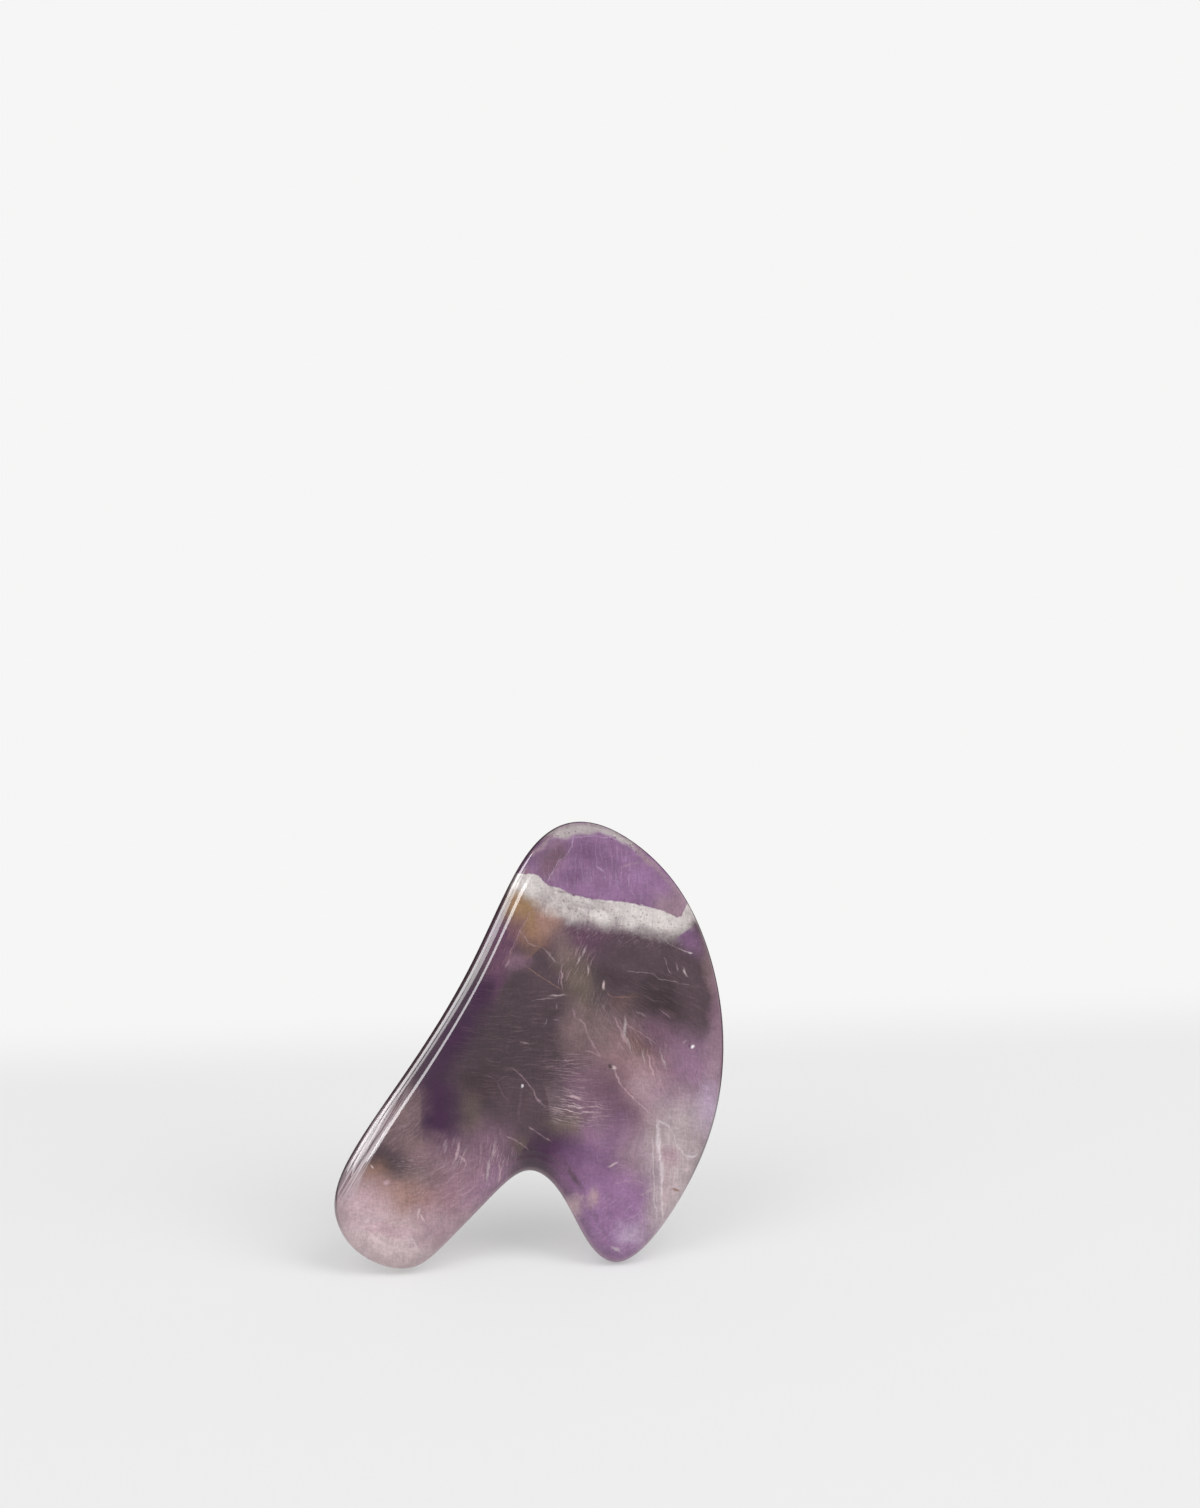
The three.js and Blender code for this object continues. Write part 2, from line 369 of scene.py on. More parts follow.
# Broad clouds of colour over the base colour, deepest layer first:
# x, y, half width, half height, turn in degrees, softness from 0 to 1, colour.
CLOUDS = [
    # the dark, smoky heart
    (2, 42, 24, 22, 0, 1.0, "plum"),
    (-5, 40, 11, 13, 20, 0.8, "smoke"),
    (23, 48, 11, 8, 0, 0.8, "smoke"),
    (25, 46, 5, 3.6, 15, 0.9, "soot"),
    (30.5, 48, 3, 7, 10, 0.8, "plum"),
    (14.5, 50, 3.5, 3, 0, 0.8, "soot"),
    (8, 50, 5, 4, 0, 0.9, "plum"),
    # the violet under the white band, and the pale right edge, partly the stone's paler rim and partly a
    # painted highlight
    (14, 57, 10, 3.5, -12, 0.9, "aubergine"),
    (20, 55.5, 7, 3, -10, 0.9, "plum"),
    (17, 53.5, 5, 2, -8, 0.9, "plum"),
    (24, 54.5, 4, 2.5, 0, 0.8, "plum"),
    (34.2, 50, 1.2, 6, 10, 0.9, "taupe"),
    (35, 42, 1.5, 10, -3, 0.9, "mauve"),
    # the nose, and its pale upper rim
    (14, 73, 20, 9, -15, 0.3, "violet"),
    (13, 73.5, 5, 3.5, -10, 0.8, "heather"),
    (14, 68.5, 7, 3, -12, 0.8, "violet"),
    (9.5, 70, 2, 2, 10, 0.8, "heather"),
    (27.5, 63.5, 3, 3, -20, 0.8, "mallow"),
    (3, 73.5, 3.5, 3, 40, 0.8, "heather"),
    (6, 73, 2, 4, -25, 0.7, "mauve"),
    (9.5, 78.7, 7.5, 1.3, 4, 0.5, "ash"),
    (4.4, 76.2, 3, 0.7, 42, 0.5, "mallow"),
    (18, 77, 5, 0.9, -32, 0.5, "ash"),
    (24, 72.4, 5, 0.6, -50, 0.9, "mallow"),
    (29, 65.6, 3.4, 0.6, -62, 0.9, "mallow"),
    # the ochre streak, and the red and magenta under it
    (-3.5, 59, 3.4, 5.5, -32, 0.8, "aubergine"),
    (-0.3, 64.8, 2.3, 4.6, -14, 0.7, "ochre"),
    (2.2, 60.5, 2.6, 4.4, -8, 0.8, "cocoa"),
    (1.6, 63.5, 1.6, 3, 10, 0.9, "ochre"),
    (4.6, 62.2, 2.2, 3, -10, 0.8, "clay"),
    (7, 56, 1.8, 3.6, 12, 0.9, "taupe"),
    (1.8, 54.2, 3.6, 3, -35, 0.7, "plum"),
    (-1.8, 54.4, 2.2, 1.6, 0, 0.9, "mauve"),
    (-5.4, 52.6, 1.7, 4.4, -12, 0.8, "aubergine"),
    (-8, 48.6, 1.8, 2.8, -32, 0.8, "indigo"),
    (-13, 41, 2.6, 8, -33, 1.0, "indigo"),
    (-8.5, 31, 3.4, 3.4, 0, 0.9, "soot"),
    # the olive veil that crosses the slab
    (10, 48, 2.6, 8, 20, 0.9, "olive"),
    (8.7, 41, 2.8, 4, 0, 0.9, "taupe"),
    (16, 46.5, 4, 3, 0, 0.8, "plum"),
    (14, 38.5, 5, 5, 25, 0.9, "taupe"),
    (20, 31, 6, 8, 15, 0.9, "dusk"),
    (21, 29, 3.2, 4.5, 15, 0.9, "rose"),
    (19.5, 38.6, 2.4, 1.8, -30, 0.9, "umber"),
    (23.5, 40, 4, 2.6, -10, 0.9, "damson"),
    # the violet right side
    (29.5, 34, 5, 5, 0, 0.9, "thistle"),
    (33, 31, 2.2, 9, -10, 0.8, "mallow"),
    (26, 27.5, 5, 3, 0, 0.9, "mallow"),
    (31.5, 26, 2.4, 4, -20, 0.9, "orchid"),
    # the middle below the heart
    (10, 28, 4.4, 6, 0, 0.9, "mauve"),
    (14.5, 25, 4, 7, 5, 0.8, "damson"),
    (6.5, 24, 3.6, 2.4, 0, 0.9, "olive"),
    (10.8, 21, 1.6, 5, 5, 0.8, "mauve"),
    (-11.2, 25.5, 1.8, 3.8, 0, 1.0, "olive"),
    (-3, 27, 6, 6, 0, 0.8, "plum"),
    # the indigo over the notch
    (4, 19, 6, 3, -8, 0.8, "indigo"),
    (-4.4, 18, 2.8, 2.2, 20, 0.8, "soot"),
    (5.6, 14.5, 2.4, 4.6, 30, 0.8, "aubergine"),
    # the left leg, from its root to the pale toe
    (-17, 28, 3.4, 7.4, 3, 0.9, "indigo"),
    (-16.4, 22.2, 2.6, 2.2, 0, 0.8, "indigo"),
    (-23.4, 26.5, 3, 4.8, -38, 0.8, "taupe"),
    (-20.5, 21.5, 3.4, 2.4, 0, 0.8, "taupe"),
    (-16.6, 16.5, 4.6, 3.6, 15, 0.9, "heather"),
    (-10, 21.5, 5, 3, 8, 1.0, "mauve"),
    (-14, 9.8, 7, 4.2, 40, 0.9, "rose"),
    (-18, 12, 2.6, 4, -10, 0.9, "thistle"),
    (-9.4, 14.6, 5.4, 3, 32, 0.9, "thistle"),
    (-10.4, 18.2, 3.4, 2.2, 0, 0.9, "mauve"),
    (-23, 13, 9, 6, 20, 0.9, "dusk"),
    (-22, 16.5, 5, 3, 10, 1.0, "taupe"),
    (-19.8, 11, 3, 2.4, 0, 0.9, "dusk"),
    (-26.4, 19.2, 4.0, 2.4, -8, 0.9, "smoke"),
    (-29.2, 16.4, 3, 2, 35, 0.9, "cocoa"),
    (-25.5, 12, 4.4, 3.4, 0, 1.0, "clay"),
    (-31.5, 10, 5, 5.5, 0, 0.9, "petal"),
    (-27, 3.6, 10, 5, -14, 0.9, "blush"),
    (-26.6, 6.9, 4.2, 0.9, -12, 0.7, "petal"),
    (-17.6, 6.6, 2.6, 3.8, 42, 0.8, "rose"),
    # the right leg
    (14, 9, 8, 12, 5, 0.8, "lilac"),
    (12.5, 17.5, 3, 3, 0, 0.9, "heather"),
    (18, 18, 3.2, 4.4, 0, 0.9, "mallow"),
    (13, 9, 4, 4, 10, 0.9, "violet"),
    (16, 4.4, 2.2, 1.8, 0, 0.9, "orchid"),
    (6.4, 10, 1.3, 1.7, 0, 0.9, "petal"),
    (9.6, 11.2, 1, 1.4, 5, 1.0, "rose"),
    # clear quartz, low on the right
    (25.4, 20, 5, 7.4, -22, 0.8, "pearl"),
    (24, 10.6, 3.2, 7, -32, 0.8, "pearl"),
    (24.3, 18.2, 1.6, 1.5, 0, 0.7, "rose"),
]

# Flat growth faces seen edge-on: crisp along their own upright, and fading away on its right-hand side.
# x, y, reach, half height, turn, strength, colour.
FACETS = [
    (7.1, 72.2, 4.5, 3.9, 146, 0.6, "damson"),
    (7.1, 72.2, 4.0, 3.9, -34, 0.35, "lilac"),
    (19.9, 69, 5, 4, 4, 0.35, "lilac"),
    (17, 71.6, 4, 4, -76, 0.3, "heather"),
    (-0.6, 59.4, 5, 5, 151, 0.5, "aubergine"),
    (-20, 27, 6, 8.5, 4, 0.4, "indigo"),
    (-13.4, 26.5, 5, 9, -1, 0.3, "plum"),
    (17, 47.4, 5, 4.4, -82, 0.35, "umber"),
    (-2, 20.4, 4, 2.6, 140, 0.5, "olive"),
    (-22, 4.4, 4, 2.6, 26, 0.5, "rose"),
    (22.4, 14, 4, 9, 1, 0.35, "petal"),
    (2.2, 56, 4, 3.6, 130, 0.4, "cocoa"),
    (10.9, 24, 4, 8, 2, 0.25, "mallow"),
    (2.4, 28, 5, 5, 12, 0.25, "dust"),
    (11.6, 50, 4, 5, 10, 0.45, "smoke"),
]

# The white band's crisp upper edge and feathered lower edge, and the crystal that cuts off its right end.
BAND_TOP = [(-4, 71.6), (0.3, 70.8), (3.2, 69.9), (4.5, 68.3), (6.5, 67.7), (9, 66.5), (14, 65.2),
            (18, 64.7), (24, 63.3), (27, 62.3), (28.8, 61.7), (29.6, 62.6), (31, 65.5)]
BAND_FOOT = [(-4, 68.0), (0, 66), (3, 64), (6, 62), (9, 60.8), (14, 59.6), (19, 58.6), (24, 57.8),
             (27.4, 57.4), (31.6, 60.4), (33, 61.5)]
BAND_PALE, BAND_GREY = "milk", "ash"
BAND_END = (29.4, 59.0, 8.0, 3.2, -56, 0.95, "heather")

# Healed cracks, as light lines: points along the line, width, strength, colour.
CRACKS = [
    ([(7.8, 45), (8.2, 44), (10, 42.4), (11, 39.6), (12, 37.6), (13, 35.8)], 0.24, 0.6, "rose"),
    ([(10.4, 37.3), (11.6, 36.9), (12.6, 36.2)], 0.18, 0.5, "petal"),
    ([(14.9, 34), (15.8, 32), (17.5, 29.3), (18.6, 28), (20.6, 25.8), (22.3, 24.3)], 0.22, 0.7, "petal"),
    ([(22.3, 24.3), (23.8, 23.9), (25, 22.2), (26, 20), (27, 18.6), (28.6, 18.1), (29.6, 18.8)], 0.26, 0.8,
     "frost"),
    ([(22.2, 24.2), (22.4, 20), (22.6, 13), (22, 6.4)], 0.34, 0.85, "frost"),
    ([(21.2, 22), (21, 14), (21.3, 7)], 0.2, 0.5, "frost"),
    ([(-3.6, 34.8), (-1.6, 32.7), (-0.4, 31.2), (0.9, 28.9), (2.4, 27.4)], 0.22, 0.5, "rose"),
    ([(-1, 24.2), (0, 23.2), (1.3, 22), (2.8, 21)], 0.2, 0.6, "rose"),
    ([(-5.2, 22.4), (-3.2, 21.4), (-1.6, 19.8)], 0.2, 0.55, "rose"),
    ([(-2.1, 31), (-2.6, 26.4), (-1, 24.2)], 0.4, 0.3, "mauve"),
    ([(-8.6, 34), (-6.6, 32.4), (-6, 31), (-4.8, 28.4)], 0.18, 0.4, "mauve"),
    ([(-6.6, 32.2), (-5.6, 32.8), (-4.4, 33.2)], 0.18, 0.4, "mauve"),
    ([(17.4, 52.4), (18.4, 51.7), (22, 51.3), (25, 50), (28, 49.2), (31, 48.3)], 0.18, 0.55, "dust"),
    ([(13.9, 48.2), (15.2, 47.3), (17.5, 46.9), (20, 46.6)], 0.16, 0.45, "clay"),
    ([(25.3, 53.8), (25.7, 52.4), (26.4, 50.9)], 0.18, 0.55, "rose"),
    ([(25.8, 57.4), (27.8, 55.7), (30.4, 54.8)], 0.2, 0.6, "haze"),
    ([(17.6, 41.8), (20.4, 40), (22.6, 38)], 0.18, 0.5, "rose"),
    ([(-0.6, 53.6), (2.6, 51.2), (6, 48.3)], 0.2, 0.5, "clay"),
    ([(-0.6, 60.2), (1.6, 57.4), (3.4, 56.6), (5.2, 53.6)], 0.22, 0.5, "haze"),
    ([(1.6, 63.6), (-0.8, 59.6), (-3.1, 55.4)], 0.14, 0.5, "rose"),
    ([(4.8, 68.7), (7, 72.3), (9.6, 75.8), (10, 77.5)], 0.16, 0.6, "orchid"),
    ([(17.6, 71), (19.8, 71.6), (22, 72.4)], 0.4, 0.4, "rose"),
    ([(9.4, 77.1), (13, 77.2), (16.2, 76.6), (18, 76)], 0.2, 0.5, "orchid"),
    ([(20, 71.4), (19.6, 69), (20.8, 65.6)], 0.24, 0.35, "orchid"),
    ([(10.6, 62.2), (12, 61.4), (14.6, 59.8)], 0.5, 0.25, "blush"),
    ([(-23.6, 6.1), (-22.2, 4.7), (-21.6, 3.1), (-20.6, 2.2)], 0.2, 0.5, "frost"),
    ([(13.9, 13.1), (16, 13.4), (18.9, 12.5)], 0.25, 0.4, "petal"),
    ([(18.4, 10.8), (19.6, 11.3), (21.2, 11.9)], 0.3, 0.4, "blush"),
    ([(26.4, 30.6), (26.8, 28.8), (27.2, 26.8)], 0.22, 0.35, "petal"),
    ([(10.9, 27), (10.6, 22), (11, 17)], 0.2, 0.3, "rose"),
    ([(8.8, 63), (9.4, 60), (9.6, 57.5)], 0.16, 0.35, "dust"),
    ([(24.4, 62.2), (23.9, 60.4), (24.2, 58.4)], 0.2, 0.45, "mallow"),
]

# Short strokes, each a thin ellipse: x, y, half length, half width, turn, strength, colour.
STROKES = [
    # the first five: painted highlights and painted shade in three pits of the polish, a painted highlight
    # at -2, 31.4, and a painted highlight with a painted shaded side at 29.7, 37.6 and at 14.4, 34.2
    (-2.0, 31.4, 0.24, 0.24, 0, 1.0, "glint"),
    (29.75, 37.6, 0.32, 0.28, 0, 1.0, "glint"),
    (29.2, 37.7, 0.26, 0.22, 0, 0.9, "aubergine"),
    (14.8, 34.1, 0.36, 0.3, 0, 0.9, "blush"),
    (14.25, 34.25, 0.26, 0.32, 0, 0.9, "smoke"),
    (22.3, 21.4, 2.6, 0.42, 88, 0.75, "frost"),
    (22.7, 15.6, 1.6, 0.5, 86, 0.6, "frost"),
    (13.6, 49.2, 0.7, 0.2, 85, 0.9, "blush"),
    (29.2, 51.3, 0.7, 0.16, -68, 0.8, "pearl"),
    (27.7, 52.2, 0.6, 0.13, -75, 0.6, "rose"),
    (30.2, 54.8, 0.4, 0.16, -15, 0.8, "frost"),
    (5.2, 47.4, 1.3, 0.16, 2, 0.8, "haze"),
    (3.2, 46.9, 1.8, 0.11, 0, 0.6, "dust"),
    (6.2, 50.8, 1.9, 0.12, 88, 0.7, "rose"),
    (5.7, 50.4, 1.2, 0.1, 84, 0.6, "mallow"),
    (5.0, 45.3, 0.5, 0.14, 88, 0.6, "mallow"),
    (5.0, 43.3, 0.5, 0.12, -10, 0.6, "mallow"),
    (3.0, 43.0, 0.5, 0.12, 60, 0.5, "dust"),
    (-0.9, 39.3, 0.8, 0.16, -14, 0.6, "dust"),
    (7.6, 29.1, 1.2, 0.22, -12, 0.8, "petal"),
    (24.9, 43.3, 1.1, 0.13, -32, 0.6, "mallow"),
    (20.3, 43.5, 0.9, 0.14, -38, 0.6, "dust"),
    (28.2, 38.6, 0.5, 0.2, 30, 0.6, "rose"),
    (21.7, 34, 2.4, 0.16, -78, 0.75, "petal"),
    (23.8, 35.4, 1.8, 0.14, -74, 0.6, "pearl"),
    (20.3, 35.8, 1.4, 0.14, -84, 0.6, "pearl"),
    (17.1, 41.4, 1.6, 0.24, 80, 0.75, "pearl"),
    (16.4, 40.6, 2.0, 0.2, -70, 0.6, "rose"),
    (17.4, 38.6, 1.8, 0.16, -72, 0.5, "haze"),
    (31.6, 30.2, 0.6, 0.35, -10, 0.6, "orchid"),
    (31.7, 28.6, 1.1, 0.15, -85, 0.5, "orchid"),
    (13.8, 16.6, 0.8, 0.2, 8, 0.75, "blush"),
    (14.5, 71.1, 0.7, 0.16, -50, 0.6, "orchid"),
    (-21.4, 9.2, 0.9, 0.22, 80, 0.7, "blush"),
    (-20.7, 8.5, 0.6, 0.14, -60, 0.7, "blush"),
    (-29, 18.3, 0.4, 0.15, -50, 0.8, "blush"),
    (-26.6, 15.4, 0.6, 0.35, 20, 0.6, "petal"),
    (-14, 20.6, 1.6, 0.18, 68, 0.7, "petal"),
    (-13.3, 19.0, 0.7, 0.25, -40, 0.6, "petal"),
    (-7.6, 20.2, 1.7, 0.12, 86, 0.7, "haze"),
    (-8.4, 16.8, 1.7, 0.2, 80, 0.7, "pearl"),
    (-6.3, 15.8, 1.2, 0.14, 78, 0.7, "petal"),
    (9.2, 54, 0.7, 0.2, 70, 0.7, "pearl"),
    (10.3, 55.6, 0.9, 0.16, 60, 0.6, "haze"),
    (10.9, 52, 0.8, 0.15, 80, 0.6, "haze"),
    (-3.2, 54.4, 0.7, 0.2, 60, 0.6, "rose"),
    (27.4, 15.8, 0.6, 0.5, 0, 0.6, "blush"),
    (25.3, 11.9, 0.6, 0.25, -20, 0.8, "cocoa"),
    (14.6, 1.6, 0.7, 0.14, -32, 0.7, "violet"),
    (13.4, 2.0, 0.8, 0.3, -25, 0.6, "frost"),
    (6.4, 15.2, 2.8, 0.4, -62, 0.6, "plum"),
    (10.2, 7.6, 1.0, 0.16, -75, 0.6, "heather"),
    (9.2, 66.4, 0.35, 0.2, 0, 0.9, "damson"),
    (7.2, 66.9, 1.2, 0.3, -12, 0.6, "dust"),
    (24, 68, 0.5, 0.12, -20, 0.7, "heather"),
]

# Patches of fine parallel fibres: x, y, half width, half height, patch turn, fibre direction, fibre length,
# fibre width, strength, colour.
FIBRES = [
    (8.2, 26.8, 4.8, 2.6, -12, -12, 3.0, 0.2, 0.95, "blush"),
    (7.0, 35.0, 4.6, 1.8, 0, -3, 3.6, 0.22, 0.8, "rose"),
    (7.6, 31.4, 4.0, 2.0, 0, -8, 3.0, 0.18, 0.6, "rose"),
    (-8, 17.6, 3.4, 4.4, 0, 84, 3.0, 0.2, 0.7, "petal"),
    (-14.6, 19.6, 2.6, 3.0, 0, 66, 2.6, 0.22, 0.6, "pearl"),
    (-23, 26, 3.4, 5.0, -35, 38, 4.0, 0.18, 0.55, "rose"),
    (-21.4, 18.2, 3.4, 1.8, 0, 4, 1.8, 0.16, 0.6, "haze"),
    (14, 70.5, 10, 6.5, -12, 88, 4.0, 0.22, 0.35, "orchid"),
    (16.6, 40, 3.6, 5.5, 25, -62, 3.5, 0.22, 0.5, "rose"),
    (21.6, 34, 4.4, 6.0, 15, -72, 4.0, 0.22, 0.4, "petal"),
    (17, 58.4, 11, 1.6, -10, 40, 1.2, 0.2, 0.3, "petal"),
    (30.4, 29, 3.4, 6, 0, -78, 3.4, 0.28, 0.45, "orchid"),
    (15, 5.5, 5.5, 5.5, 0, 30, 2.4, 0.4, 0.4, "orchid"),
    (23.4, 15, 3.4, 8.5, -12, 86, 5.0, 0.22, 0.5, "frost"),
    (8.5, 53.6, 3.2, 3.6, 0, 64, 2.4, 0.22, 0.55, "rose"),
    (-27, 8, 9, 8, 0, 24, 5.0, 0.6, 0.15, "frost"),
    (0, 38, 12, 13, 0, -4, 4.0, 0.24, 0.4, "taupe"),
    (25, 46, 10, 8, 0, -28, 4.0, 0.24, 0.35, "taupe"),
    (11.5, 45, 3, 6, 18, 74, 2.4, 0.2, 0.45, "dust"),
    (-3, 57.6, 3, 5, -32, 60, 3.0, 0.2, 0.3, "clay"),
    (15, 20, 5, 8, 0, 4, 2.4, 0.2, 0.2, "rose"),
    (-16, 13.6, 7, 5, 20, 30, 2.4, 0.22, 0.4, "petal"),
]

# Where the stone holds fine dark specks: x, y, half width, half height, turn, strength.
SPECKLED = [
    (19.6, 75.2, 4.4, 1.0, -33, 0.75),
    (8.4, 78.3, 2.6, 0.6, 12, 0.7),
    (16, 62.5, 14, 4.0, -15, 0.4),
]

SPECK_DARK = "plum"

# Mottling and fine fibres all over, from broad to fine: how much each lightens and darkens the stone.
BROAD_MOTTLING, FINE_MOTTLING = 0.13, 0.12
UPRIGHT_FIBRES, LEVEL_FIBRES = 0.08, 0.07

# A painted reflection on the rounding at the foot of the spine, in long pale streaks: middle, half length
# and half width, turn, and its streaks' colour.
SPINE_GLEAM_MIDDLE, SPINE_GLEAM_HALF, SPINE_GLEAM_TURN = (-30.4, 21.4), (11.0, 3.0), 57
SPINE_GLEAM_STREAKS = "frost"

# The rim: painted light where the slab is thin, for light through the thin edge, and painted shade along
# the outline of its upper part, for the dark edge of refraction. The painted dark line fades in between
# these heights.
PAINTED_THIN_RIM_LIGHT, PAINTED_OUTLINE_SHADE = "petal", "soot"
PAINTED_OUTLINE_FROM, PAINTED_OUTLINE_FULLY = 24, 38
FACE_AXIS = (0.0, -math.cos(LEAN), math.sin(LEAN))


def seen(name):
    """The base colour that looks like a colour of the palette once the studio light is on it."""
    code = PALETTE[name]
    linear = [((int(code[i:i + 2], 16) / 255 + 0.055) / 1.055) ** 2.4 for i in (0, 2, 4)]
    return (*[max(0.002, (c - POLISH_VEIL) / FACE_LIGHT) for c in linear], 1)


class Pattern:
    """Builds shader nodes. Wherever a value goes, another node's output can go too."""

    def __init__(self, tree):
        self.nodes = tree.nodes
        self.links = tree.links

    def add(self, kind, inputs, **settings):
        node = self.nodes.new(kind)
        for name, value in settings.items():
            setattr(node, name, value)
        for key, value in inputs.items():
            self.put(node.inputs[key], value)
        return node

    def put(self, socket, value):
        if isinstance(value, bpy.types.NodeSocket):
            self.links.new(value, socket)
        else:
            socket.default_value = value

    def layers(self, name, paint, places, colour):
        """Layers painted over a colour, kept together in a node group of their own."""
        tree = bpy.data.node_groups.new(name, "ShaderNodeTree")
        for count in range(len(places)):
            tree.interface.new_socket("Place", in_out="INPUT", socket_type="NodeSocketVector")
        tree.interface.new_socket("Below", in_out="INPUT", socket_type="NodeSocketColor")
        tree.interface.new_socket("Colour", in_out="OUTPUT", socket_type="NodeSocketColor")
        group = Pattern(tree)
        given = group.nodes.new("NodeGroupInput").outputs[:len(places) + 1]
        painted = paint(group, *given)
        group.put(group.nodes.new("NodeGroupOutput").inputs[0], painted)
        whole = self.add("ShaderNodeGroup", {}, node_tree=tree)
        for socket, value in zip(whole.inputs, (*places, colour)):
            self.put(socket, value)
        return whole.outputs[0]

    def math(self, operation, a, b=0.0, c=0.0):
        return self.add("ShaderNodeMath", {0: a, 1: b, 2: c}, operation=operation).outputs[0]

    def ramp(self, value, low, high, least=0.0, most=1.0):
        """Least where the value is low and most where it is high, smoothly."""
        inputs = {"Value": value, "From Min": low, "From Max": high, "To Min": least, "To Max": most}
        settings = {"interpolation_type": "SMOOTHSTEP", "clamp": False}
        return self.add("ShaderNodeMapRange", inputs, **settings).outputs[0]

    def mix(self, share, a, b, blend="MIX"):
        node = self.add("ShaderNodeMix", {0: share, 6: a, 7: b}, data_type="RGBA", blend_type=blend)
        return node.outputs[2]

    def split(self, place):
        return self.add("ShaderNodeSeparateXYZ", {0: place}).outputs

    def local(self, place, centre, half, turn=0.0, depth=60.0):
        """Coordinates inside a turned box: 1 is its half width, half height or half depth."""
        inputs = {
            "Vector": place,
            "Location": (*centre, 0),
            "Rotation": (0, 0, math.radians(turn)),
            "Scale": (*half, depth),
        }
        return self.add("ShaderNodeMapping", inputs, vector_type="TEXTURE").outputs[0]

    def gradient(self, box, kind):
        """From the middle of a box outwards: SPHERICAL falls from 1 to 0, LINEAR rises from 0 to 1 along
        X."""
        return self.add("ShaderNodeTexGradient", {"Vector": box}, gradient_type=kind).outputs["Fac"]

    def inside(self, place, centre, half, turn=0.0, soft=0.5, strength=1.0):
        """Full strength in the middle of an ellipse that runs through the stone, 0 outside it."""
        reach = 1 + soft
        box = self.local(place, centre, (half[0] * reach, half[1] * reach), turn)
        return self.ramp(self.gradient(box, "SPHERICAL"), 0.0, 2 * soft / reach, 0.0, strength)

    def facet(self, place, centre, half, turn, strength):
        """An ellipse cut off sharply along its own upright."""
        box = self.local(place, centre, half, turn)
        kept = self.ramp(self.gradient(box, "LINEAR"), 0.0, 0.06, 0.0, strength)
        return self.math("MULTIPLY", kept, self.ramp(self.gradient(box, "SPHERICAL"), 0.0, 0.8))

    def noise(self, place, size, seed, detail=2.0, roughness=0.5, output="Fac"):
        """Noise from 0 to 1, with lumps about size millimetres across."""
        inputs = {"Vector": place, "W": seed, "Scale": 1 / size, "Detail": detail, "Roughness": roughness}
        return self.add("ShaderNodeTexNoise", inputs, noise_dimensions="4D").outputs[output]

    def bend(self, place, size, amount, seed, detail=2.0):
        """The place, pushed about by noise by up to about half the amount each way."""
        colour = self.noise(place, size, seed, detail, output="Color")
        channels = self.add("ShaderNodeSeparateColor", {0: colour}).outputs
        push = self.add("ShaderNodeCombineXYZ", {axis: channels[axis] for axis in range(3)}).outputs[0]
        inputs = {0: push, 1: (0.5, 0.5, 0.5)}
        centred = self.add("ShaderNodeVectorMath", inputs, operation="SUBTRACT").outputs[0]
        inputs = {0: centred, 1: (amount, amount, amount), 2: place}
        return self.add("ShaderNodeVectorMath", inputs, operation="MULTIPLY_ADD").outputs[0]

    def streaks(self, place, turn, length, width, least, most, seed, detail=2.0):
        """Thin strokes along one direction: 1 on a stroke, 0 between strokes."""
        stretched = self.local(place, (0, 0), (length, width), turn, depth=length)
        return self.ramp(self.noise(stretched, 1.0, seed, detail), least, most)

    def profile(self, value, points):
        """A smooth curve through points, each a value and its result."""
        low, high = np.min(points, axis=0), np.max(points, axis=0)
        inputs = {"Value": value, "From Min": low[0], "From Max": high[0]}
        share = self.add("ShaderNodeMapRange", inputs, clamp=False).outputs[0]
        node = self.add("ShaderNodeFloatCurve", {"Value": share})
        curve = node.mapping.curves[0]
        steps = sorted(tuple((np.array(point) - low) / (high - low)) for point in points)
        while len(curve.points) < len(steps):
            curve.points.new(0.5, 0.5)
        for knot, step in zip(curve.points, steps):
            knot.location = step
        node.mapping.update()
        inputs = {"Value": node.outputs["Value"], "To Min": low[1], "To Max": high[1]}
        return self.add("ShaderNodeMapRange", inputs, clamp=False).outputs[0]

    def crack(self, x_y, points, width, strength):
        """A thin line through points, brightest along its middle."""
        reach = np.ptp(points, axis=0)
        along, across = (0, 1) if reach[0] > reach[1] else (1, 0)
        middle = self.profile(x_y[along], [(point[along], point[across]) for point in points])
        away = self.math("ABSOLUTE", self.math("SUBTRACT", x_y[across], middle))
        lean = math.hypot(*reach) / reach[along]
        line = self.ramp(away, width * lean, 0.0, 0.0, strength)
        ends = sorted(point[along] for point in points)
        half = (ends[-1] - ends[0]) / 2
        centre = (ends[0] + ends[-1]) / 2
        off_centre = self.math("ABSOLUTE", self.math("SUBTRACT", x_y[along], centre))
        return self.math("MULTIPLY", line, self.ramp(off_centre, half + 0.2, half * 0.8))


def slab_place(pattern):
    """The slab's own millimetres at the point being shaded."""
    inputs = {
        "Vector": pattern.add("ShaderNodeTexCoord", {}).outputs["Object"],
        "Location": slab_origin,
        "Rotation": (math.radians(90) - LEAN, 0, 0),
        "Scale": (MM, MM, MM),
    }
    return pattern.add("ShaderNodeMapping", inputs, vector_type="TEXTURE").outputs[0]


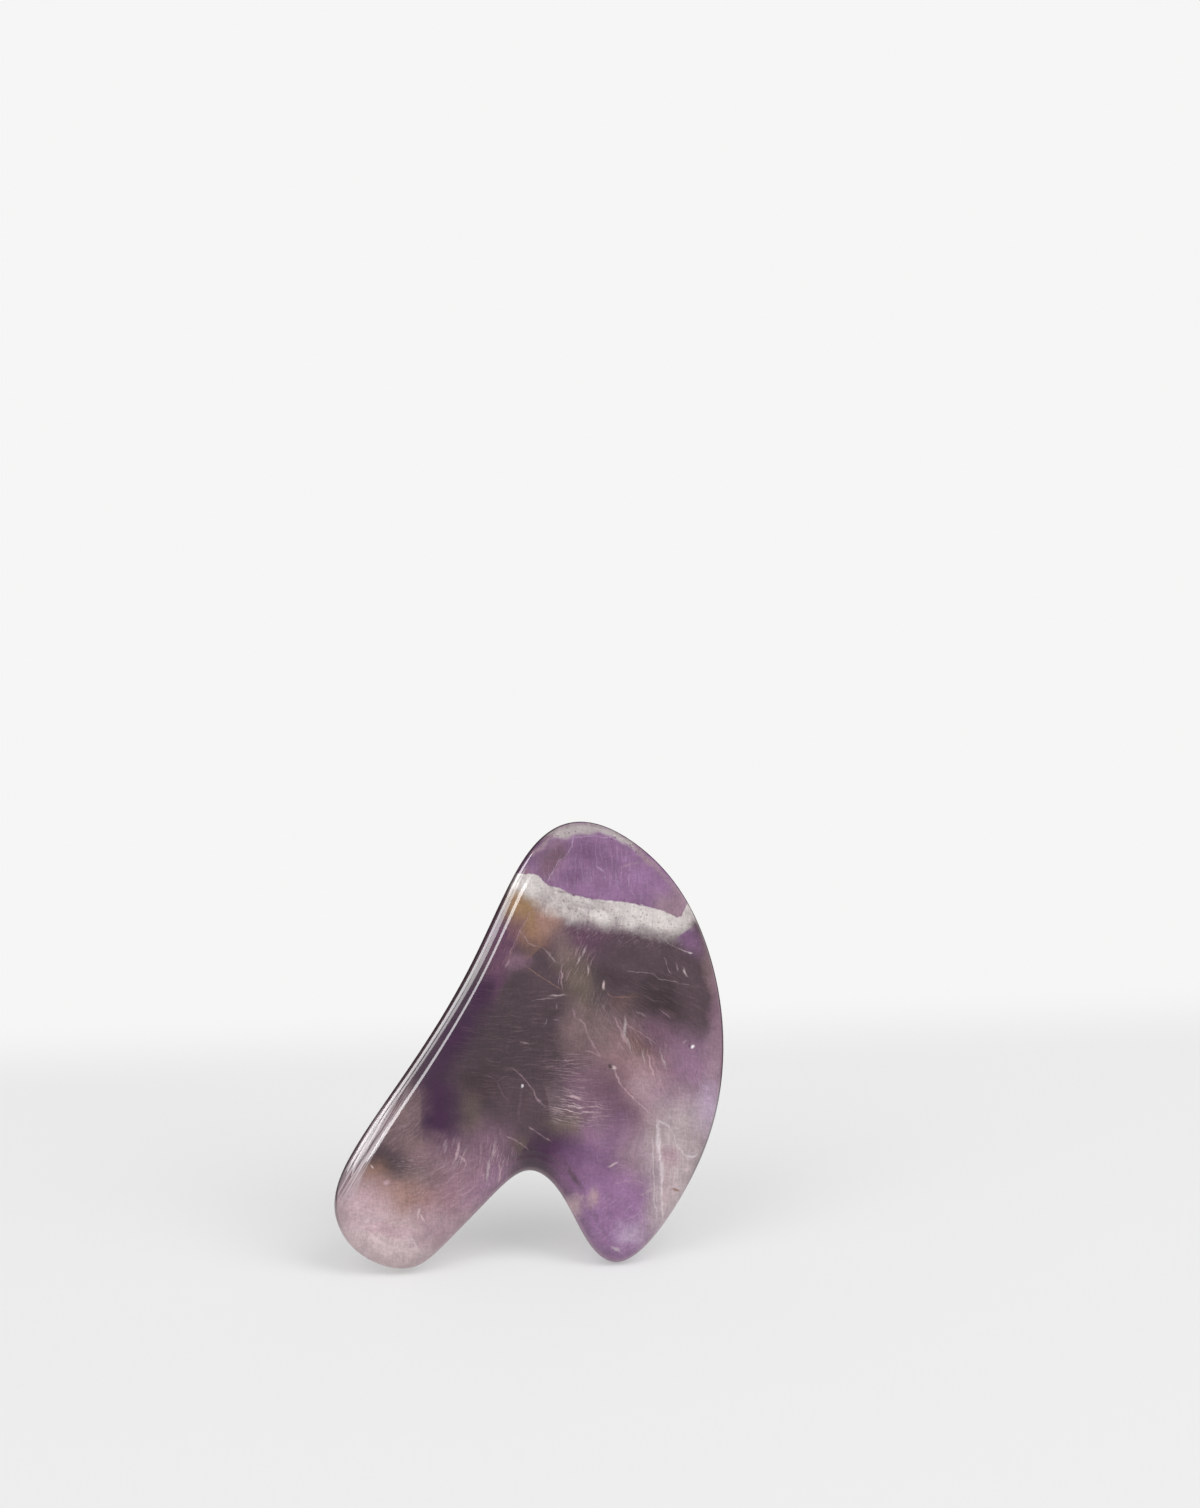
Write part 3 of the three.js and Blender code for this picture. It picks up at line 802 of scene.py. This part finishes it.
def white_band(p, place, bent, colour):
    """The vein of white quartz, crisp on its upper side and feathered on its lower one."""
    x, y, _ = p.split(place)
    bent_x, bent_y, _ = p.split(bent)
    jagged = p.noise(place, 1.1, 31.0, 4.0, 0.6)
    top = p.math("MULTIPLY_ADD", jagged, 1.3, p.profile(x, BAND_TOP))
    above = p.math("SUBTRACT", y, p.math("SUBTRACT", top, 0.65))
    fringe = p.streaks(place, 70, 1.3, 0.3, 0.2, 0.8, 32.0, 4.0)
    foot = p.math("MULTIPLY_ADD", fringe, -0.4, p.profile(bent_x, BAND_FOOT))
    over_foot = p.math("SUBTRACT", bent_y, foot)
    mask = p.math("MULTIPLY", p.ramp(above, 0.12, -0.12), p.ramp(over_foot, -1.0, 3.0))
    cloudy = p.ramp(p.noise(bent, 3.0, 33.0, 4.0, 0.6), 0.35, 0.6)
    brighter = p.inside(bent, (23, 61.5), (8, 2.6), -16, 0.8)
    left_block = p.inside(bent, (2, 68.4), (3, 2.4), -20, 0.7)
    pale = p.math("MAXIMUM", p.math("MAXIMUM", brighter, left_block), cloudy)
    veined = p.mix(p.math("MULTIPLY", pale, 0.9), seen(BAND_GREY), seen(BAND_PALE))
    colour = p.mix(mask, colour, veined)
    x, y, reach, half_y, turn, strength, hue = BAND_END
    return p.mix(p.facet(place, (x, y), (reach, half_y), turn, strength), colour, seen(hue))


def clouds(p, bent, colour):
    """The broad zones of colour."""
    for x, y, half_x, half_y, turn, soft, hue in CLOUDS:
        mask = p.inside(bent, (x, y), (half_x, half_y), turn, soft)
        colour = p.mix(mask, colour, seen(hue))
    return colour


def facets(p, crisp, colour):
    """The growth faces, each an edge that fades away to one side."""
    for x, y, reach, half_y, turn, strength, hue in FACETS:
        mask = p.facet(crisp, (x, y), (reach, half_y), turn, strength)
        colour = p.mix(mask, colour, seen(hue))
    return colour


def fibres(p, bent, crisp, colour):
    """The patches of fine parallel fibres."""
    for seed, (x, y, half_x, half_y, turn, way, length, width, strength, hue) in enumerate(FIBRES):
        patch = p.inside(bent, (x, y), (half_x, half_y), turn, 0.7, strength)
        threads = p.streaks(crisp, way, length, width, 0.48, 0.72, 50.0 + seed, 3.0)
        colour = p.mix(p.math("MULTIPLY", patch, threads), colour, seen(hue))
    return colour


def cracks(p, place, crisp, colour):
    """The healed cracks, broken up here and there."""
    x_y = p.split(crisp)
    broken = p.ramp(p.noise(place, 1.4, 14.0, 2.0), 0.36, 0.56, 0.35, 1.0)
    for points, width, strength, hue in CRACKS:
        line = p.math("MULTIPLY", p.crack(x_y, points, width, strength), broken)
        colour = p.mix(line, colour, seen(hue))
    return colour


def strokes(p, crisp, colour):
    """The short strokes and dots."""
    for x, y, half_length, half_width, turn, strength, hue in STROKES:
        mask = p.inside(crisp, (x, y), (half_length, half_width), turn, 0.7, strength)
        colour = p.mix(mask, colour, seen(hue))
    return colour


def amethyst():
    """Polished, banded amethyst."""
    material = bpy.data.materials.new("polished_amethyst")
    material.use_nodes = True
    p = Pattern(material.node_tree)
    place = slab_place(p)
    wavy = p.bend(place, 8.0, 2.0, 1.0, detail=1.0)
    bent = p.bend(wavy, 2.6, 3.2, 2.0, detail=5.0)
    crisp = p.bend(wavy, 1.5, 1.1, 3.0, detail=4.0)

    colour = p.layers("clouds", clouds, (bent,), seen(BASE))
    colour = p.layers("facets", facets, (crisp,), colour)
    colour = p.layers("white_band", white_band, (place, bent), colour)
    colour = p.layers("fibres", fibres, (bent, crisp), colour)
    colour = p.layers("cracks", cracks, (place, crisp), colour)
    colour = p.layers("strokes", strokes, (crisp,), colour)

    upright = p.local(crisp, (0, 0), (2.2, 0.18), 86, depth=2.2)
    level = p.local(crisp, (0, 0), (2.0, 0.18), -10, depth=2.0)
    for lumps, amount in (
        (p.noise(place, 2.4, 11.0, 4.0, 0.6), BROAD_MOTTLING),
        (p.noise(place, 0.5, 12.0, 3.0, 0.6), FINE_MOTTLING),
        (p.noise(upright, 1.0, 15.0, 2.0), UPRIGHT_FIBRES),
        (p.noise(level, 1.0, 16.0, 2.0), LEVEL_FIBRES),
    ):
        shade = p.ramp(lumps, 0.25, 0.75, 1 - amount, 1 + amount)
        grey = p.add("ShaderNodeCombineColor", {0: shade, 1: shade, 2: shade}).outputs[0]
        colour = p.mix(1.0, colour, grey, "MULTIPLY")

    height = p.math("ABSOLUTE", p.split(place)[2])
    speckles = p.add("ShaderNodeTexVoronoi", {"Vector": crisp, "Scale": 1 / 0.8})
    dots = p.ramp(speckles.outputs["Distance"], 0.3, 0.16)
    for x, y, half_x, half_y, turn, strength in SPECKLED:
        patch = p.inside(bent, (x, y), (half_x, half_y), turn, 0.7, strength)
        colour = p.mix(p.math("MULTIPLY", patch, dots), colour, seen(SPECK_DARK))

    # a painted reflection on the rounding at the foot of the spine, in long pale streaks
    # the mask below, named ground, is the mask of this painted reflection
    ground = p.inside(bent, SPINE_GLEAM_MIDDLE, SPINE_GLEAM_HALF, SPINE_GLEAM_TURN, 0.5)
    ground = p.math("MULTIPLY", ground, p.ramp(height, 3.45, 3.3))
    ground = p.math("MULTIPLY", ground, p.streaks(place, SPINE_GLEAM_TURN, 9.0, 0.26, 0.35, 0.65, 33.0, 2.0))
    colour = p.mix(ground, colour, seen(SPINE_GLEAM_STREAKS))

    # the rim: painted light where it is thin, and painted shade along the outline of its upper part
    colour = p.mix(p.ramp(height, 2.0, 1.2, 0.0, 0.22), colour, seen(PAINTED_THIN_RIM_LIGHT))
    # painted shade: darker where the surface turns edge-on to the face, in the upper part of the slab
    inputs = {0: p.add("ShaderNodeTexCoord", {}).outputs["Normal"], 1: FACE_AXIS}
    facing = p.add("ShaderNodeVectorMath", inputs, operation="DOT_PRODUCT").outputs["Value"]
    outline = p.ramp(p.math("ABSOLUTE", facing), 0.62, 0.42, 0.0, 0.8)
    x, y, _ = p.split(place)
    upper = p.math("MULTIPLY_ADD", p.math("ABSOLUTE", x), 0.6, y)
    outline = p.math("MULTIPLY", outline, p.ramp(upper, PAINTED_OUTLINE_FROM, PAINTED_OUTLINE_FULLY))
    colour = p.mix(outline, colour, seen(PAINTED_OUTLINE_SHADE))

    surface = material.node_tree.nodes["Principled BSDF"]
    p.put(surface.inputs["Base Color"], colour)
    p.put(surface.inputs["Roughness"], p.ramp(p.noise(place, 5.0, 21.0, 4.0), 0.3, 0.7, 0.04, 0.085))
    surface.inputs["IOR"].default_value = QUARTZ_IOR
    return material


slab.data.materials.append(amethyst())

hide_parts("amethyst_slab")
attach(slab, "root")

# ---------------------------------------------------------------------------------------------------
# Stage, light and camera
# ---------------------------------------------------------------------------------------------------

FLOOR_SIZE = 16.0
PALE = (0.44, 0.44, 0.443, 1)
FLOOR_GLOW = 0.39
WHITE = (0.92, 0.92, 0.915, 1)
FLOOR_ROUGHNESS, FLOOR_SPECULAR = 0.6, 0.2

# How far behind the stone the floor turns into the white sweep, and how far behind it the polish starts to
# mirror the floor as dark.
SWEEP_START, SWEEP_END = 0.10, 0.16
DARK_START, DARK_END = 0.04, 0.08

LAMP_DISTANCE = 2.2

# The windows that the polish mirrors, and the softboxes that light the stone:
# name, azimuth, elevation, width and height in degrees, radiance, and whether it is mirrored or lights.
WINDOWS = [
    ("window", -118, 35, 28, 13, 8.0, True),
    ("window_top", -89, 44, 26, 10, 6.5, True),
    ("strip", -39, 49.7, 17, 7.0, 10.0, True),
    ("left_softbox", -50, 50, 50, 50, 1.5, False),
    ("right_softbox", 60, 50, 50, 50, 3.1, False),
]

CAMERA_PLACE = (-0.0525, -0.4890, 0.1760)
CAMERA_TILT, CAMERA_TURN = math.radians(80), math.radians(-7.65)
SENSOR_WIDTH, LENS_LENGTH = 36.0, 67.0

# How bright the even light all round is, and what the polish mirrors overhead and in the dark room behind.
SKY, OVERHEAD, DARK = 0.62, 1.1, 0.03
DARK_AZIMUTH, DARK_ELEVATION = 180, 30
DARK_CORE, DARK_RIM = math.cos(math.radians(38)), math.cos(math.radians(48))


def toward(azimuth, elevation):
    """The unit direction at an azimuth, 0 towards -Y and 90 towards +X, and an elevation, in degrees."""
    a, e = math.radians(azimuth), math.radians(elevation)
    return Vector((math.sin(a) * math.cos(e), -math.cos(a) * math.cos(e), math.sin(e)))


def make_floor():
    """A pale floor with a faint glow, that turns into a white sweep behind the stone. The polish mirrors
    that far part as dark, as it would a black card there, which gives the stone its thin dark outline."""
    half = FLOOR_SIZE / 2
    mesh = bpy.data.meshes.new("floor")
    corners = [(-half, -half, 0), (half, -half, 0), (half, half, 0), (-half, half, 0)]
    mesh.from_pydata(corners, [], [(0, 1, 2, 3)])
    floor = bpy.data.objects.new("floor", mesh)
    bpy.context.scene.collection.objects.link(floor)
    material = bpy.data.materials.new("pale_floor")
    material.use_nodes = True
    p = Pattern(material.node_tree)
    surface = p.nodes["Principled BSDF"]
    surface.inputs["Base Color"].default_value = PALE
    surface.inputs["Emission Color"].default_value = WHITE
    surface.inputs["Emission Strength"].default_value = FLOOR_GLOW
    surface.inputs["Roughness"].default_value = FLOOR_ROUGHNESS
    surface.inputs["Specular IOR Level"].default_value = FLOOR_SPECULAR
    rays = p.add("ShaderNodeLightPath", {}).outputs
    y = p.split(p.add("ShaderNodeTexCoord", {}).outputs["Object"])[1]
    white = p.add("ShaderNodeEmission", {"Color": WHITE}).outputs[0]
    black = p.add("ShaderNodeEmission", {"Color": (DARK, DARK, DARK, 1)}).outputs[0]
    far = p.ramp(y, SWEEP_START, SWEEP_END)
    behind = p.math("MULTIPLY", p.ramp(y, DARK_START, DARK_END), rays["Is Glossy Ray"])
    swept = p.add("ShaderNodeMixShader", {0: far, 1: surface.outputs[0], 2: white}).outputs[0]
    mirrored = p.add("ShaderNodeMixShader", {0: behind, 1: swept, 2: black}).outputs[0]
    p.put(p.nodes["Material Output"].inputs["Surface"], mirrored)
    floor.data.materials.append(material)


def make_window(name, azimuth, elevation, width, height, radiance, mirrored):
    """A bright rectangle, width and height in degrees of azimuth and elevation as the stone sees it. It is
    either seen mirrored in the polish or it lights the scene softly."""
    data = bpy.data.lights.new(name, "AREA")
    data.shape = "RECTANGLE"
    data.size = 2 * LAMP_DISTANCE * math.tan(math.radians(width / 2)) * math.cos(math.radians(elevation))
    data.size_y = 2 * LAMP_DISTANCE * math.tan(math.radians(height / 2))
    data.energy = radiance * math.pi * data.size * data.size_y
    lamp = bpy.data.objects.new(name, data)
    away = toward(azimuth, elevation)
    lamp.location = slab_middle + away * LAMP_DISTANCE
    lamp.rotation_euler = away.to_track_quat("Z", "Y").to_euler()
    lamp.visible_camera = False
    lamp.visible_glossy = mirrored
    lamp.visible_diffuse = not mirrored
    bpy.context.scene.collection.objects.link(lamp)


def make_world():
    """What surrounds the stone. The camera sees the plain white of the sweep, an even light falls from all
    round, and the polish mirrors a bright ceiling and the dark room behind the sweep."""
    world = bpy.data.worlds.new("studio")
    world.use_nodes = True
    p = Pattern(world.node_tree)
    direction = p.add("ShaderNodeTexCoord", {}).outputs["Generated"]
    rays = p.add("ShaderNodeLightPath", {}).outputs
    inputs = {0: direction, 1: toward(DARK_AZIMUTH, DARK_ELEVATION)}
    behind = p.add("ShaderNodeVectorMath", inputs, operation="DOT_PRODUCT")
    ceiling = p.ramp(p.split(direction)[2], 0.70, 0.97, SKY, OVERHEAD)
    mirrored = p.math("MULTIPLY", ceiling, p.ramp(behind.outputs["Value"], DARK_RIM, DARK_CORE, 1.0, DARK))
    extra = p.math("SUBTRACT", mirrored, SKY)
    strength = p.math("MULTIPLY_ADD", rays["Is Glossy Ray"], extra, SKY)
    surround = p.add("ShaderNodeBackground", {"Color": (1, 1, 1, 1), "Strength": strength}).outputs[0]
    plain = p.add("ShaderNodeBackground", {"Color": WHITE}).outputs[0]
    seen_plain = p.add("ShaderNodeMixShader", {0: rays["Is Camera Ray"], 1: surround, 2: plain}).outputs[0]
    p.put(p.nodes["World Output"].inputs["Surface"], seen_plain)
    bpy.context.scene.world = world


def make_camera():
    """The camera, in front of the stone, a little to its left and looking down at it."""
    data = bpy.data.cameras.new("camera")
    data.sensor_width = SENSOR_WIDTH
    data.lens = LENS_LENGTH
    camera = bpy.data.objects.new("camera", data)
    bpy.context.scene.collection.objects.link(camera)
    camera.location = CAMERA_PLACE
    camera.rotation_euler = (CAMERA_TILT, 0, CAMERA_TURN)
    data.clip_start, data.clip_end = 0.01, 20
    bpy.context.scene.camera = camera


slab_middle = (cad_low + cad_high) / 2
make_floor()
make_camera()
make_world()
for window in WINDOWS:
    make_window(*window)
bpy.context.scene.view_settings.view_transform = "Standard"
